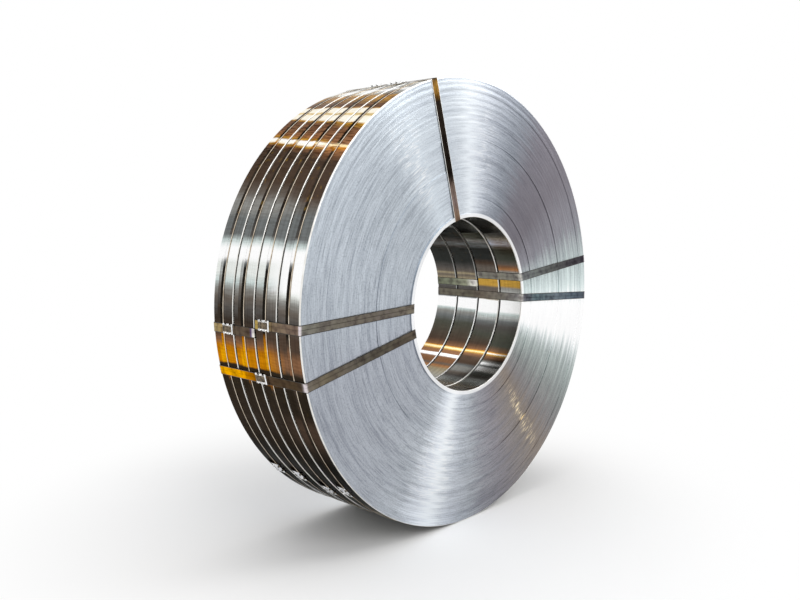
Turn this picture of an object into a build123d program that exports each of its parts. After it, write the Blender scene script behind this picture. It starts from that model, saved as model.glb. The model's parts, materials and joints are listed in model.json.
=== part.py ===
"""A bundle of slit steel coils, standing on its rim with the bore level.

Four narrow coils of bright cold-rolled strip stand side by side on one axis. A belly strap round the
outside of each coil holds its last turn down. Eye straps, which pass through the bore and over the
outside, tie the coils in two pairs, and two longer eye straps tie the pairs into one bundle. Each strap
laps over itself on the outside and is closed there by a notched seal.

Millimetres. The bore runs along Y, the front end faces -Y, and Z is up. The origin is on the bore's
axis, halfway along the bundle. Angles run round the axis from +X towards +Z.
"""

import os
from math import cos, degrees, radians, sin, sqrt

from build123d import *

# Coils
bore_radius = 254.0
outer_radius = 645.0
strip_width = 82.0
strip_gauge = 1.0
coil_gap = 6.0
pair_gap = 6.0
coils_in_pair = 2
pairs = 2

# Groups of turns that stand back on the bundle's two ends, as shares of the wall and of the deepest setback
telescope_depth = 2.5
turn_edge_shares = (0.0, 0.03, 0.15, 0.36, 0.57, 0.91, 1.0)
turn_setback_shares = (0.0, 1.0, 0.5, 0.9, 0.4, 0.0)

# Loose end of the last turn outside and of the first turn in the bore, in degrees
ledge_angle = 16.0
tail_angle = 300.0
lead_angle = 120.0
end_stagger_angle = 3.0

# Straps
strap_width = 25.0
strap_gauge = 0.8
seat_clearance = 0.1
belly_clearance = 0.45
belly_strap_share = 0.63
lap_tail = 8.0
bend_chamfer = 0.5

# Seals
seal_length = 42.0
seal_gauge = 0.9
seal_side_clearance = 0.4
seal_chamfer = 0.5
notch_pitch = 20.0
notch_width = 7.0
notch_depth = 5.0
tab_angle = 50.0
overrun = 5.0

# Angle of each belly strap's seal, from the front coil to the rear one
belly_seal_angles = (226.0, 229.0, 225.5, 225.0)

# Angle of each eye strap outside and in the bore
eye_strap_angles = {
    "front_pair": {"left": (182.3, 179.4), "right": (11.3, 16.4), "top": (107.4, 107.7)},
    "rear_pair": {"left": (184.3, 182.0), "right": (8.6, 9.7), "top": (106.0, 105.6)},
    "bundle": {"left": (194.6, 194.9), "right": (-0.2, 1.5)},
}

# Place of each eye strap's seal, as a share of the width that the strap goes round
eye_seal_shares = {
    "front_pair": {"left": 0.79, "right": 0.71, "top": 0.81},
    "rear_pair": {"left": 0.63, "right": 0.51, "top": 0.31},
    "bundle": {"left": 0.49, "right": 0.43},
}

# Worked out from the sizes above
coils = coils_in_pair * pairs
wall = outer_radius - bore_radius
pair_width = coils_in_pair * strip_width + (coils_in_pair - 1) * coil_gap
bundle_width = pairs * pair_width + (pairs - 1) * pair_gap
front_end = -bundle_width / 2
bore_direction = Axis.Y.direction
belly_inner_radius = outer_radius + belly_clearance
eye_inner_level = belly_inner_radius + strap_gauge + seat_clearance
bore_run_level = sqrt(bore_radius**2 - (strap_width / 2) ** 2) - seat_clearance
lap_length = seal_length + 2 * lap_tail


def pair_front(pair):
    """Where a pair's front end lies along the axis."""
    return front_end + pair * (pair_width + pair_gap)


def coil_front(index):
    """Where a coil's front end lies along the axis, counted from the front."""
    pair, place = divmod(index, coils_in_pair)
    return pair_front(pair) + place * (strip_width + coil_gap)


def belly_place(index):
    """Where the middle of a coil's belly strap lies along the axis."""
    return coil_front(index) + belly_strap_share * strip_width


def outward(angle):
    """Unit vector away from the axis at an angle."""
    return Vector(cos(radians(angle)), 0, sin(radians(angle)))


def around(angle):
    """Unit vector round the axis at an angle, the way angles grow."""
    return Vector(-sin(radians(angle)), 0, cos(radians(angle)))


def radial_plane(angle):
    """Plane through the axis: its x is the distance from the axis, and its y is along the axis."""
    return Plane(origin=(0, 0, 0), x_dir=outward(angle), z_dir=around(angle))


def cross_plane(angle, along_axis):
    """Plane across the axis: its x runs round the axis at that angle, its y away from the axis."""
    return Plane(origin=(0, along_axis, 0), x_dir=around(angle), z_dir=bore_direction)


def end_outline(end, inward, stepped):
    """Points of a coil's end from the bore to the outside, flat or stepped where turns stand back."""
    if not stepped:
        return [(bore_radius, end), (outer_radius, end)]
    points = []
    for inner, outer, setback in zip(turn_edge_shares, turn_edge_shares[1:], turn_setback_shares):
        level = end + inward * setback * telescope_depth
        points += [(bore_radius + inner * wall, level), (bore_radius + outer * wall, level)]
    return points


def ledge(angle, surface_radius, step):
    """Sliver that the coil lacks past a loose end of its strip: one gauge deep, thinning to nothing."""
    start = outward(angle)
    middle = outward(angle + ledge_angle / 2)
    finish = outward(angle + ledge_angle)
    clear = surface_radius - step * overrun
    with BuildSketch(Plane.XZ) as sliver:
        with BuildLine():
            edge = ThreePointArc(
                *[
                    (point.X * radius, point.Z * radius)
                    for point, radius in (
                        (start, surface_radius + step * strip_gauge),
                        (middle, surface_radius + step * strip_gauge / 2),
                        (finish, surface_radius),
                    )
                ]
            )
            Polyline(edge @ 1, (finish.X * clear, finish.Z * clear))
            ThreePointArc(
                *[(point.X * clear, point.Z * clear) for point in (finish, middle, start)]
            )
            Line((start.X * clear, start.Z * clear), edge @ 0)
        make_face()
    return sliver.sketch


def wound_coil(index):
    """One coil, turned about the axis, with the loose ends of its strip outside and in the bore."""
    front = coil_front(index)
    rear = front + strip_width
    front_points = end_outline(front, 1, stepped=index == 0)
    rear_points = end_outline(rear, -1, stepped=index == coils - 1)
    tail = ledge(tail_angle + index * end_stagger_angle, outer_radius, -1)
    lead = ledge(lead_angle + index * end_stagger_angle, bore_radius, 1)
    with BuildPart() as coil:
        with BuildSketch(Plane.XY):
            with BuildLine():
                Polyline(*front_points, *reversed(rear_points), close=True)
            make_face()
        revolve(axis=Axis.Y)
        extrude(tail, amount=bundle_width, both=True, mode=Mode.SUBTRACT)
        extrude(lead, amount=bundle_width, both=True, mode=Mode.SUBTRACT)
    return coil.part


def belly_strap(index):
    """Strap round the outside of one coil, with the lap that its seal closes."""
    middle = belly_place(index)
    lap_radius = belly_inner_radius + strap_gauge
    lap_angle = degrees(lap_length / lap_radius)
    with BuildPart() as strap:
        with BuildSketch(Plane.XY):
            with Locations((belly_inner_radius + strap_gauge / 2, middle)):
                Rectangle(strap_gauge, strap_width)
        revolve(axis=Axis.Y)
        with BuildSketch(radial_plane(belly_seal_angles[index] + lap_angle / 2)):
            with Locations((lap_radius + strap_gauge / 2, middle)):
                Rectangle(strap_gauge, strap_width)
        revolve(axis=Axis.Y, revolution_arc=lap_angle)
    return strap.part


def strap_edge(angle, level):
    """The two ends of a line across an eye strap, at an angle and a distance from the axis."""
    middle = outward(angle) * level
    half = around(angle) * (strap_width / 2)
    return [((middle + half).X, (middle + half).Z), ((middle - half).X, (middle - half).Z)]


def eye_strap(outside_angle, bore_angle, seal_place, front, rear):
    """Strap through the bore and over the outside of the coils between two ends."""
    front_face = front - seat_clearance
    rear_face = rear + seat_clearance
    run_start = front_face - strap_gauge
    run_length = rear_face - front_face + 2 * strap_gauge
    top_level = eye_inner_level + strap_gauge
    bore_level = bore_run_level - strap_gauge
    end_run = strap_edge(outside_angle, top_level) + strap_edge(bore_angle, bore_level)[::-1]
    with BuildPart() as strap:
        with BuildSketch(cross_plane(outside_angle, run_start)):
            with Locations((0, eye_inner_level + strap_gauge / 2)):
                Rectangle(strap_width, strap_gauge)
        extrude(amount=run_length)
        with BuildSketch(cross_plane(bore_angle, run_start)):
            with Locations((0, bore_level + strap_gauge / 2)):
                Rectangle(strap_width, strap_gauge)
        extrude(amount=run_length)
        with BuildSketch(Plane.XZ.offset(-front_face), Plane.XZ.offset(-rear_face - strap_gauge)):
            with BuildLine():
                Polyline(*end_run, close=True)
            make_face()
        extrude(amount=strap_gauge)
        ends = strap.faces().sort_by(Axis.Y)
        bends = [edge for end in (ends[0], ends[-1]) for edge in end.edges().sort_by(SortBy.LENGTH)[:2]]
        chamfer(bends, bend_chamfer)
        with BuildSketch(cross_plane(outside_angle, seal_place - lap_length / 2)):
            with Locations((0, top_level + strap_gauge / 2)):
                Rectangle(strap_width, strap_gauge)
        extrude(amount=lap_length)
    return strap.part


def seal(base):
    """Sleeve over a lap, notched along both sides, with the notches' tabs bent up.

    The base plane's x is across the strap, and its y is away from the coil.
    """
    inner_width = strap_width + 2 * seal_side_clearance
    inner_height = 2 * strap_gauge + seat_clearance
    outer_width = inner_width + 2 * seal_gauge
    outer_height = inner_height + seal_gauge
    rise = Axis(base.origin, base.y_dir)
    run = Axis(base.origin, base.z_dir)
    top = Plane(origin=base.origin + base.y_dir * outer_height, x_dir=base.x_dir, z_dir=base.y_dir)
    notch_root = outer_width / 2 - notch_depth
    tab_reach = notch_depth * cos(radians(tab_angle))
    tab_rise = notch_depth * sin(radians(tab_angle))
    tab_lean = seal_gauge * sin(radians(tab_angle))
    tab_drop = seal_gauge * cos(radians(tab_angle))
    tab_points = [
        (notch_root, inner_height),
        (notch_root + tab_reach + tab_lean, outer_height + tab_rise - tab_drop),
        (notch_root + tab_reach, outer_height + tab_rise),
        (notch_root, outer_height),
    ]
    notch_places = (-notch_pitch / 2, notch_pitch / 2)
    with BuildPart() as sleeve:
        with BuildSketch(base):
            with Locations((0, outer_height / 2)):
                Rectangle(outer_width, outer_height)
            with Locations((0, inner_height / 2)):
                Rectangle(inner_width, inner_height, mode=Mode.SUBTRACT)
        extrude(amount=seal_length / 2, both=True)
        chamfer(sleeve.edges().filter_by(run).group_by(rise)[-1], seal_chamfer)
        with BuildSketch(top):
            for place in notch_places:
                with Locations((-outer_width / 2, place), (outer_width / 2, place)):
                    Rectangle(2 * notch_depth, notch_width)
        extrude(amount=-overrun, mode=Mode.SUBTRACT)
        with BuildSketch(*[base.offset(place) for place in notch_places]):
            with BuildLine():
                Polyline(*tab_points, close=True)
            make_face()
            mirror(about=Plane.YZ)
        extrude(amount=notch_width / 2, both=True)
    return sleeve.part


def write(part, name):
    """Labels a finished piece and writes it to its own file."""
    part.label = name
    export_step(part, f"parts/{name}.step")


os.makedirs("parts", exist_ok=True)

for index, angle in enumerate(belly_seal_angles):
    write(wound_coil(index), f"slit_coil_{index + 1}")
    write(belly_strap(index), f"belly_strap_{index + 1}")
    belly_origin = outward(angle) * belly_inner_radius + bore_direction * belly_place(index)
    belly_base = Plane(origin=belly_origin, x_dir=bore_direction, z_dir=-around(angle))
    write(seal(belly_base), f"belly_seal_{index + 1}")

strapped_widths = {
    "front_pair": (pair_front(0), pair_front(0) + pair_width),
    "rear_pair": (pair_front(1), pair_front(1) + pair_width),
    "bundle": (front_end, -front_end),
}
for group, (front, rear) in strapped_widths.items():
    for side, (outside_angle, bore_angle) in eye_strap_angles[group].items():
        seal_place = front + eye_seal_shares[group][side] * (rear - front)
        write(eye_strap(outside_angle, bore_angle, seal_place, front, rear), f"{group}_strap_{side}")
        eye_origin = outward(outside_angle) * eye_inner_level + bore_direction * seal_place
        eye_base = Plane(origin=eye_origin, x_dir=around(outside_angle), z_dir=bore_direction)
        write(seal(eye_base), f"{group}_seal_{side}")
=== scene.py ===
import json

import bpy
import numpy as np
from mathutils import Matrix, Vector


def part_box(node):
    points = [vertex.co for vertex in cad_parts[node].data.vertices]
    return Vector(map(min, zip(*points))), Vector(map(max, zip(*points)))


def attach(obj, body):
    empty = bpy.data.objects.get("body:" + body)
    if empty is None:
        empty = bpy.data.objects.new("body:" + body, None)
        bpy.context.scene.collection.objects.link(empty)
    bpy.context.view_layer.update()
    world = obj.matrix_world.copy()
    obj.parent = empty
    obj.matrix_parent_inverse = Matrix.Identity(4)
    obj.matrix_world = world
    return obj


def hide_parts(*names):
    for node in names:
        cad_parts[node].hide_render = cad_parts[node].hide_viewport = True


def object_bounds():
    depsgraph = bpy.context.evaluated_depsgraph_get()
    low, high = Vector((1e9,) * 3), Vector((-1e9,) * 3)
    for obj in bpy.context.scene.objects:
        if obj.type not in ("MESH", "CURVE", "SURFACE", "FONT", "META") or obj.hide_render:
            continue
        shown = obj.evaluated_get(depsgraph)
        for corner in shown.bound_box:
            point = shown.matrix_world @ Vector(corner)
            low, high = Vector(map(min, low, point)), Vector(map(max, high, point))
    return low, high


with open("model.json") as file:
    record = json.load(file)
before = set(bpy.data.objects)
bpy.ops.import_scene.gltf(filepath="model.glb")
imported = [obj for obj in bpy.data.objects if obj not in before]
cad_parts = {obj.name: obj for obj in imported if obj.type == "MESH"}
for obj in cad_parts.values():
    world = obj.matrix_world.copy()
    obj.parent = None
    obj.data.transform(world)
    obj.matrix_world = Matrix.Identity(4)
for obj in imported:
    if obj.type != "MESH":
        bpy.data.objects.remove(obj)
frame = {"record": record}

cad_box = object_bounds()

# Slit coils: four narrow coils of bright cold-rolled strip, wound tight and stood side by side on one axis.
# The outside and the bore show the rolled surface, and the ends the slit edges of the turns, which stand in
# and out of line in groups. Turns are drawn 3 mm apart, because the real 1 mm ones are too fine to show.
coil_names = ["slit_coil_1", "slit_coil_2", "slit_coil_3", "slit_coil_4"]
front_coil, rear_coil = 0, len(coil_names) - 1
outer_radius = 0.645
bore_radius = frame["record"]["mounts"][0]["dims"]["r_mm"] / 1000
strip_gauge = 0.001
rim_round, rim_steps = 0.0012, 4
# Each rim is a narrow line along the front edge of the outside or of the bore, from the front coil back, and
# carries a painted highlight; in the bore the rear coils' rims carry painted reflections instead.
front_rim, inner_rim = 0.005, 0.002
bore_rims = (0.0032, 0.0032, 0.003, 0.0028)
turn_pitch, turn_jitter = 0.003, 0.0003
deepest_setback = 0.0025
group_edge_shares = np.array([0.0, 0.03, 0.15, 0.36, 0.57, 0.91, 1.0])
group_setbacks = np.array([0.0, 1.0, 0.5, 0.9, 0.4, 0.0]) * deepest_setback
ledge_angle, tail_angle, lead_angle, end_stagger_angle = 16.0, 300.0, 120.0, 3.0
facet_angle, seam_angle = 1.5, 0.02
crease_angle = np.radians(35)
hair = 1e-6
outside_zone, bore_zone, end_zone, rim_zone, bore_rim_zone = range(5)


def linear(code):
    """sRGB hex colour to linear RGBA: a channel up to 0.04045 is divided by 12.92, and a higher one has
    0.055 added, is divided by 1.055 and raised to the power 2.4."""
    channel = np.array([int(code[i:i + 2], 16) for i in (1, 3, 5)]) / 255
    value = np.where(channel <= 0.04045, channel / 12.92, ((channel + 0.055) / 1.055) ** 2.4)
    return (*value.tolist(), 1.0)


def node(tree, kind, feeds=None, out=0, stops=None, **settings):
    """Adds a shader node of a kind and gives back one of its outputs. Feeds are values or sockets for its
    inputs, stops are the places and colours of a ramp, and settings are its properties."""
    made = tree.nodes.new(f"ShaderNode{kind}")
    for name, value in settings.items():
        setattr(made, name, value)
    for name, value in (feeds or {}).items():
        if isinstance(value, bpy.types.NodeSocket):
            tree.links.new(value, made.inputs[name])
        else:
            made.inputs[name].default_value = value
    for i, (spot, colour) in enumerate(stops or []):
        elements = made.color_ramp.elements
        stop = elements[i] if i < 2 else elements.new(spot)
        stop.position = spot
        stop.color = linear(colour)
    return made.outputs[out] if made.outputs else None


def grid_mesh(name, points, wrap_rows, wrap_columns, zones=None, along=None):
    """Mesh of quads on a grid of points. A wrapped direction joins its last line to its first, rows that
    don't wrap are capped, zones number the materials, and along is a running number for each row, kept as
    the mesh's own map."""
    rows, columns = points.shape[:2]
    row = np.arange(rows if wrap_rows else rows - 1)[:, None]
    column = np.arange(columns if wrap_columns else columns - 1)[None, :]
    below, beside = (row + 1) % rows, (column + 1) % columns
    quads = np.stack([row * columns + column, row * columns + beside,
                      below * columns + beside, below * columns + column], axis=-1)
    faces = quads.reshape(-1, 4).tolist()
    if not wrap_rows:
        faces += [list(range(columns))[::-1], list(range((rows - 1) * columns, rows * columns))]
    mesh = bpy.data.meshes.new(name)
    mesh.from_pydata(points.reshape(-1, 3), [], faces)
    if zones is not None:
        numbers = np.zeros(len(faces), np.int32)
        numbers[:quads[..., 0].size] = np.broadcast_to(zones, quads.shape[:2]).ravel()
        mesh.polygons.foreach_set("material_index", numbers)
    if along is not None:
        corners = np.zeros(len(mesh.loops), np.int32)
        mesh.loops.foreach_get("vertex_index", corners)
        running = np.stack([along[corners // columns], (corners % columns) / columns], axis=-1)
        mesh.uv_layers.new(name="along").data.foreach_set("uv", running.ravel())
    mesh.shade_smooth()
    mesh.set_sharp_from_angle(angle=crease_angle)
    return mesh


def place(name, mesh, materials, replaced):
    """Puts a finished mesh into the scene on the one body, in the place of its CAD nodes."""
    for material in materials:
        mesh.materials.append(material)
    piece = bpy.data.objects.new(name, mesh)
    bpy.context.collection.objects.link(piece)
    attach(piece, "root")
    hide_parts(*replaced)
    return piece


def end_profile(seed):
    """Radius and setback along a coil's end: flat groups of turns at their own setbacks, each turn moved by
    a small random jitter."""
    wall = outer_radius - bore_radius
    radius, setback = [], []
    jitter = np.random.default_rng(seed)
    for inner, outer, depth in zip(group_edge_shares, group_edge_shares[1:], group_setbacks):
        low = bore_radius + max(inner * wall, rim_round)
        high = bore_radius + min(outer * wall, wall - rim_round)
        turns = np.linspace(low, high, max(2, round((high - low) / turn_pitch)))
        radius.append(turns)
        setback.append(depth + turn_jitter * jitter.random(len(turns)))
    return np.concatenate(radius), np.concatenate(setback)


def coil_mesh(name, front, rear, index):
    """Surface of revolution about Y. Its profile runs up the front end, over the outside, down the rear end
    and along the bore, with quarter-round corners. Where the strip ends, outside and in the bore, the
    radius steps by one gauge and comes back over the ledge's angle."""
    face_radius, face_setback = end_profile(index)
    face_setback[[0, -1]] = 0
    flat = np.zeros_like(face_radius)
    front_setback = face_setback if index == front_coil else flat
    rear_setback = face_setback if index == rear_coil else flat
    corner = np.linspace(0, np.pi / 2, rim_steps)
    sine, cosine = rim_round * np.sin(corner), rim_round * np.cos(corner)
    radius = np.concatenate([
        face_radius,
        outer_radius - rim_round + sine[1:],
        np.full(2, outer_radius),
        outer_radius - rim_round + cosine,
        face_radius[::-1][1:],
        bore_radius + rim_round - sine[1:],
        np.full(2, bore_radius),
        bore_radius + rim_round - cosine[:-1],
    ])
    depth = np.concatenate([
        front + front_setback,
        front + rim_round - cosine[1:],
        [front + (front_rim if index == front_coil else inner_rim), rear - rim_round],
        rear - rim_round + sine,
        (rear - rear_setback)[::-1][1:],
        rear - rim_round + cosine[1:],
        [rear - rim_round, front + bore_rims[index]],
        front + rim_round - sine[:-1],
    ])
    # Ends facing a neighbouring coil take the rim's painted highlight, so the gaps show as bright lines.
    front_zone = end_zone if index == front_coil else rim_zone
    rear_zone = end_zone if index == rear_coil else rim_zone
    steps = len(face_radius) - 1
    zone = np.repeat([front_zone, rim_zone, outside_zone, rear_zone, bore_zone, bore_rim_zone],
                     [steps, rim_steps, rim_steps + 1, steps, rim_steps + 1, rim_steps])
    tail, lead = tail_angle + index * end_stagger_angle, lead_angle + index * end_stagger_angle
    seams = [tail - seam_angle, tail + seam_angle, lead - seam_angle, lead + seam_angle]
    angle = np.sort(np.concatenate([np.arange(0, 360, facet_angle), seams]))
    past_tail, past_lead = (angle - tail) % 360, (angle - lead) % 360
    lost_outside = np.where(past_tail < ledge_angle, strip_gauge * (1 - past_tail / ledge_angle), 0)
    lost_inside = np.where(past_lead < ledge_angle, strip_gauge * (1 - past_lead / ledge_angle), 0)
    on_outside = radius > outer_radius - rim_round - hair
    on_bore = radius < bore_radius + rim_round + hair
    reach = radius[:, None] - on_outside[:, None] * lost_outside + on_bore[:, None] * lost_inside
    turn = np.radians(angle)
    level = np.broadcast_to(depth[:, None], reach.shape)
    points = np.stack([reach * np.cos(turn), level, reach * np.sin(turn)], axis=-1)
    return grid_mesh(name, points, True, True, zone[:, None])


# Painted reflections on bright strip: what the mirror-like strip reflects is painted into its colour
# as bands along the bundle, from clear through straw and amber to brown, so the strip looks white, gold
# or nearly black. Bands are given in degrees down from the top, for the rear and the front of the bundle,
# and near the top they lean a little from rear to front. The black line from 102.6 to 103.6 degrees is
# a painted reflection of the bundle strap.
reflection_tints = {
    "clear": "#ffffff", "cream": "#fffaec", "butter": "#f2d488", "pearl": "#e8ece8", "aqua": "#cfdcda",
    "silver": "#b8bcba", "grey": "#949490", "slate": "#747878", "lead": "#5a5754", "soot": "#363836",
    "straw": "#fbe8b8", "honey": "#eaa60c", "gold": "#d0860c", "amber": "#bc760c", "ochre": "#caa048",
    "khaki": "#a89c80", "rust": "#b07c50", "umber": "#8a6448", "cocoa": "#54453a", "taupe": "#6e665e",
    "moss": "#52544b", "frost": "#dce8ff", "brass": "#d4a02c", "bronze": "#ac8236", "bark": "#3e362f",
    "black": "#322b23", "pitch": "#221f1b"
}
outside_rear_bands = [
    (0, "silver"), (10, "pearl"), (14, "khaki"), (18, "pearl"), (22, "silver"), (23.4, "clear"),
    (26.4, "pearl"), (27.6, "brass"), (29.8, "brass"), (30.8, "bronze"), (32.6, "umber"), (34, "umber"),
    (34.5, "brass"), (34.9, "cream"), (36.8, "cream"), (37.5, "butter"), (38.2, "cream"), (40.2, "cream"),
    (40.7, "brass"), (41.3, "umber"), (44.5, "umber"), (46.6, "rust"), (47.5, "brass"), (48, "clear"),
    (49.1, "cream"), (49.6, "brass"), (50.2, "umber"), (51.6, "cocoa"), (60, "cocoa"), (63, "taupe"),
    (65.4, "grey"), (67, "grey"), (69.5, "slate"), (73, "slate"), (74.2, "aqua"), (75.8, "clear"),
    (78, "clear"), (79.4, "pearl"), (81.4, "pearl"), (83.4, "aqua"), (85, "grey"), (87, "taupe"),
    (89.4, "lead"), (92, "bark"), (95.4, "cocoa"), (97, "umber"), (98.4, "amber"), (100, "gold"),
    (102.2, "gold"), (102.6, "black"), (103.6, "black"), (104.2, "gold"), (106, "black"), (117, "bark"),
    (122, "black"), (127, "pitch"), (143, "pitch"), (146, "lead"), (149, "silver"), (180, "lead")]
outside_front_bands = [
    (0, "silver"), (10, "pearl"), (14, "khaki"), (18, "pearl"), (22, "silver"), (23.6, "clear"),
    (25.6, "silver"), (27, "khaki"), (28, "brass"), (30.2, "brass"), (31.6, "bronze"), (33, "umber"),
    (34.2, "umber"), (34.6, "brass"), (35, "cream"), (36.6, "cream"), (37.4, "butter"), (38.3, "cream"),
    (40.2, "cream"), (40.9, "brass"), (42.6, "umber"), (47.6, "umber"), (48.2, "straw"), (49.0, "gold"),
    (49.7, "rust"), (51.2, "umber"), (53, "cocoa"), (63, "cocoa"), (65, "taupe"), (68, "slate"),
    (73.4, "slate"), (75, "aqua"), (76.4, "clear"), (84.6, "clear"), (85.6, "pearl"), (87, "grey"),
    (89, "taupe"), (91, "lead"), (94.6, "cocoa"), (97, "cocoa"), (99, "umber"), (101, "umber"),
    (102.2, "cocoa"), (102.6, "black"), (103.6, "black"), (104.2, "black"), (112, "black"), (115, "cocoa"),
    (119, "cocoa"), (122, "bark"), (126, "pitch"), (141, "pitch"), (145, "lead"), (148, "silver"),
    (166, "grey"), (180, "black")]
bore_rear_bands = [
    (0, "silver"), (24, "silver"), (29, "soot"), (41, "soot"), (45, "lead"), (48, "slate"), (50, "lead"),
    (52, "soot"), (64, "soot"), (69, "lead"), (72.2, "taupe"), (73.4, "khaki"), (75, "taupe"),
    (78, "khaki"), (82.4, "slate"), (84, "lead"), (88, "lead"), (91.6, "slate"), (92.4, "clear"),
    (99.6, "clear"), (100.4, "aqua"), (103, "grey"), (106.4, "slate"), (111.4, "moss"), (126, "cocoa"),
    (131, "umber"), (131.7, "honey"), (132.4, "straw"), (133.2, "straw"), (134.2, "ochre"), (135, "umber"),
    (138.2, "umber"), (138.9, "clear"), (140.9, "clear"), (142.2, "umber"), (147, "umber"), (149, "taupe"),
    (151.6, "rust"), (155, "khaki"), (170, "silver")]
bore_middle_bands = [
    (0, "silver"), (26, "silver"), (31, "slate"), (35, "moss"), (40.5, "moss"), (43.6, "grey"),
    (46, "slate"), (48.6, "slate"), (51, "soot"), (60, "soot"), (63.6, "cocoa"), (67, "taupe"),
    (70, "taupe"), (74.5, "khaki"), (76, "ochre"), (81, "ochre"), (82.6, "taupe"), (88, "taupe"),
    (91.4, "khaki"), (92.2, "clear"), (100.8, "clear"), (102.6, "aqua"), (105.5, "silver"), (108, "slate"),
    (112, "lead"), (118, "moss"), (126, "cocoa"), (131.2, "umber"), (131.9, "honey"), (132.8, "straw"),
    (133.8, "ochre"), (135, "umber"), (138, "cocoa"), (145, "cocoa"), (147.4, "slate"), (149, "grey"),
    (153, "grey"), (156, "taupe"), (160, "lead"), (168, "silver"), (180, "silver")]
bore_front_bands = [
    (0, "silver"), (26, "silver"), (31, "slate"), (36, "grey"), (40, "pearl"), (43, "frost"), (46, "frost"),
    (48.5, "grey"), (51, "moss"), (60, "moss"), (63.6, "taupe"), (66, "umber"), (68, "rust"), (70, "grey"),
    (76, "ochre"), (81, "ochre"), (82.6, "grey"), (91.4, "pearl"), (92.2, "clear"), (99.6, "clear"),
    (101.4, "aqua"), (104.4, "silver"), (107, "slate"), (111, "lead"), (118, "moss"), (126, "moss"),
    (131.2, "umber"), (131.9, "honey"), (132.8, "clear"), (133.8, "ochre"), (135, "umber"),
    (138.6, "cocoa"), (140.4, "grey"), (141.6, "clear"), (143, "clear"), (144.4, "slate"), (146.4, "clear"),
    (149.6, "clear"), (152, "slate"), (157, "lead"), (168, "silver")]
rear_rim_bands = [
    (0, "slate"), (50, "grey"), (60, "grey"), (72, "silver"), (88, "silver"), (92, "clear"), (110, "clear"),
    (118, "pearl"), (128, "pearl"), (140, "clear"), (180, "clear")]
# Pale tint that stands in for the painted reflections on the bore's left wall.
bore_left_reflection = "#e2e4e2"
white = linear("#ffffff")

# A table is read in two ramps, above and below the split. The front table takes over along the axis, and the
# pale left tint, which stands in for the painted reflections on the bore's left, across it.
ramp_split = 57
bundle_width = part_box(coil_names[rear_coil])[1].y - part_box(coil_names[front_coil])[0].y
front_from, front_to = -0.03, -0.11
left_from, left_to, left_share = 0.06, -0.06, 0.8

# The bands lean by so many degrees over the bundle's width, less down the side, and wander a little.
outside_lean, bore_lean = 5.2, 2.5
lean_whole, lean_gone = 50.0, 76.0
top_still, top_free = 2.0, 16.0
band_wander, wander_length = 0.35, 1 / 14

# Rolling streaks run round the coil, and thin lines along it break up the dark painted reflections. Both are
# finer on the real strip than they are drawn, so that they show. They are strong on dark painted reflections
# and faint on clear ones.
streak_spacing, streaks_per_radian = 0.004, 2.0
streak_shades = [(0.25, "#b4b0ae"), (0.6, "#ffffff")]
dark_reflection, clear_reflection, dark_reflection_depth, clear_reflection_depth = 0.6, 0.9, 0.5, 0.05
thin_band_angle, thin_band_length = 0.45, 0.05
thin_band_shades = [(0.36, "#86705c"), (0.6, "#ffffff")]
thin_whole, thin_less, thin_above, thin_below = 50.0, 58.0, 1.7, 0.5

# Dried drops of oil fleck the upper part, and the underside keeps more of its own colour at a glance.
fleck_size = 0.014
fleck_shades = [(0.57, "#000000"), (0.76, "#8c7034")]
fleck_whole, fleck_gone, faint_flecks, outside_flecks = 64.0, 74.0, 0.1, 0.8
under_from, under_whole, glance_share, outside_glance = 130.0, 142.0, 0.52, 0.9


def start_finish(name):
    """New material with an empty node tree, and the piece's own coordinates to lay the finish out on."""
    material = bpy.data.materials.new(name)
    material.use_nodes = True
    tree = material.node_tree
    tree.nodes.clear()
    return material, tree, node(tree, "TexCoord", out="Object")


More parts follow.
